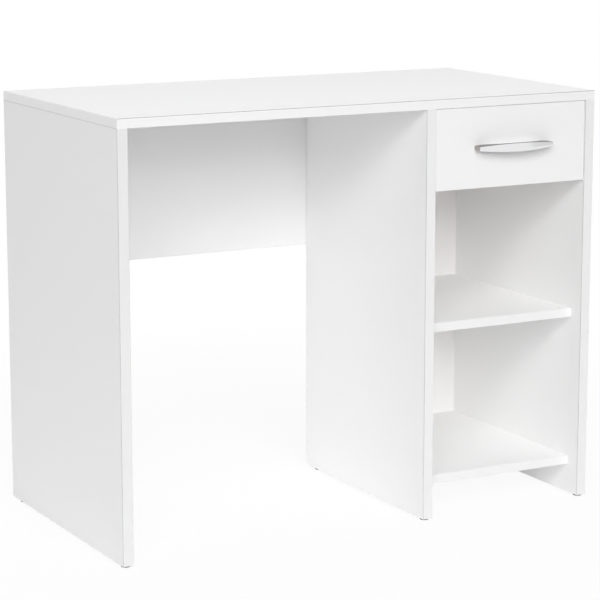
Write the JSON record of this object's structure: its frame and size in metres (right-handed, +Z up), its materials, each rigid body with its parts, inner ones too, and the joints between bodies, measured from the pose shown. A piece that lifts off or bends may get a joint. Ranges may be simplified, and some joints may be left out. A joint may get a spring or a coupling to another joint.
{
  "type": "pedestal desk",
  "caption": "White flat-pack desk with a knee space and modesty panel, and a right-hand pedestal with a bow-handled drawer on roller runners over open shelves.",
  "frame": {"origin": "on the floor, under the middle of the box round the whole desk with its handle", "axes": "+Z up, front towards -Y, +X to the right of someone who sits at the desk"},
  "size_m": [0.9, 0.502, 0.724],
  "materials": {
    "white_board": "white melamine facing, fine satin texture",
    "white_edge_band": "white edge band, satin",
    "white_hardboard": "white lacquered hardboard",
    "drawer_board": "white foil-wrapped board, satin",
    "cam_metal": "die-cast, dull",
    "bolt_steel": "zinc plated",
    "beech": "bare beech",
    "white_cap": "moulded, satin",
    "black_glide": "moulded, satin",
    "runner_white": "white baked enamel on bent sheet",
    "nylon": "natural nylon",
    "handle_chrome": "satin chrome"
  },
  "bodies": {
    "carcass": {"desktop": "white_board", "left_end_panel": "white_board", "divider_panel": "white_board", "right_end_panel": "white_board", "modesty_panel": "white_board", "middle_shelf": "white_board", "bottom_shelf": "white_board", "desktop_edge_bands": "white_edge_band", "left_end_edge_bands": "white_edge_band", "divider_edge_bands": "white_edge_band", "right_end_edge_bands": "white_edge_band", "modesty_edge_band": "white_edge_band", "middle_shelf_edge_band": "white_edge_band", "bottom_shelf_edge_band": "white_edge_band", "pedestal_back": "white_hardboard", "cam_locks": "cam_metal", "cam_bolts": "bolt_steel", "back_panel_nails": "bolt_steel", "cabinet_roller_axles": "bolt_steel", "cabinet_runner_screws": "bolt_steel", "dowels": "beech", "cam_caps": "white_cap", "glides": "black_glide", "left_cabinet_runner": "runner_white", "right_cabinet_runner": "runner_white"},
    "drawer": {"drawer_front": "white_board", "drawer_front_edge_bands": "white_edge_band", "drawer_bottom": "white_hardboard", "drawer_left_side": "drawer_board", "drawer_right_side": "drawer_board", "drawer_back": "drawer_board", "drawer_cam_locks": "cam_metal", "drawer_cam_bolts": "bolt_steel", "drawer_back_screws": "bolt_steel", "drawer_bottom_nails": "bolt_steel", "drawer_roller_axles": "bolt_steel", "drawer_runner_screws": "bolt_steel", "drawer_dowels": "beech", "drawer_handle": "handle_chrome", "handle_screws": "bolt_steel", "left_drawer_runner": "runner_white", "right_drawer_runner": "runner_white"},
    "left_front_roller": {"left_front_roller": "nylon"},
    "right_front_roller": {"right_front_roller": "nylon"},
    "left_rear_roller": {"left_rear_roller": "nylon"},
    "right_rear_roller": {"right_rear_roller": "nylon"}
  },
  "joints": [
    {"name": "drawer_slide", "type": "slide", "parent": "carcass", "child": "drawer", "axis": [0, -1, 0], "range_m": [0, 0.26]},
    {"name": "left_front_roller_spin", "type": "hinge", "parent": "carcass", "child": "left_front_roller", "pos_m": [0.1375, -0.19, 0.5903], "axis": [1, 0, 0], "range_deg": [0, 1755]},
    {"name": "left_rear_roller_spin", "type": "hinge", "parent": "drawer", "child": "left_rear_roller", "pos_m": [0.1358, 0.128, 0.5911], "axis": [1, 0, 0], "range_deg": [0, 1605]},
    {"name": "right_front_roller_spin", "type": "hinge", "parent": "carcass", "child": "right_front_roller", "pos_m": [0.4245, -0.19, 0.5903], "axis": [1, 0, 0], "range_deg": [0, 1755]},
    {"name": "right_rear_roller_spin", "type": "hinge", "parent": "drawer", "child": "right_rear_roller", "pos_m": [0.4262, 0.128, 0.5911], "axis": [1, 0, 0], "range_deg": [0, 1605]}
  ],
  "couplings": [
    {"joint": "left_front_roller_spin", "follows": "drawer_slide", "rad_per_m": 117.65},
    {"joint": "left_rear_roller_spin", "follows": "drawer_slide", "rad_per_m": 107.53},
    {"joint": "right_front_roller_spin", "follows": "drawer_slide", "rad_per_m": 117.65},
    {"joint": "right_rear_roller_spin", "follows": "drawer_slide", "rad_per_m": 107.53}
  ]
}
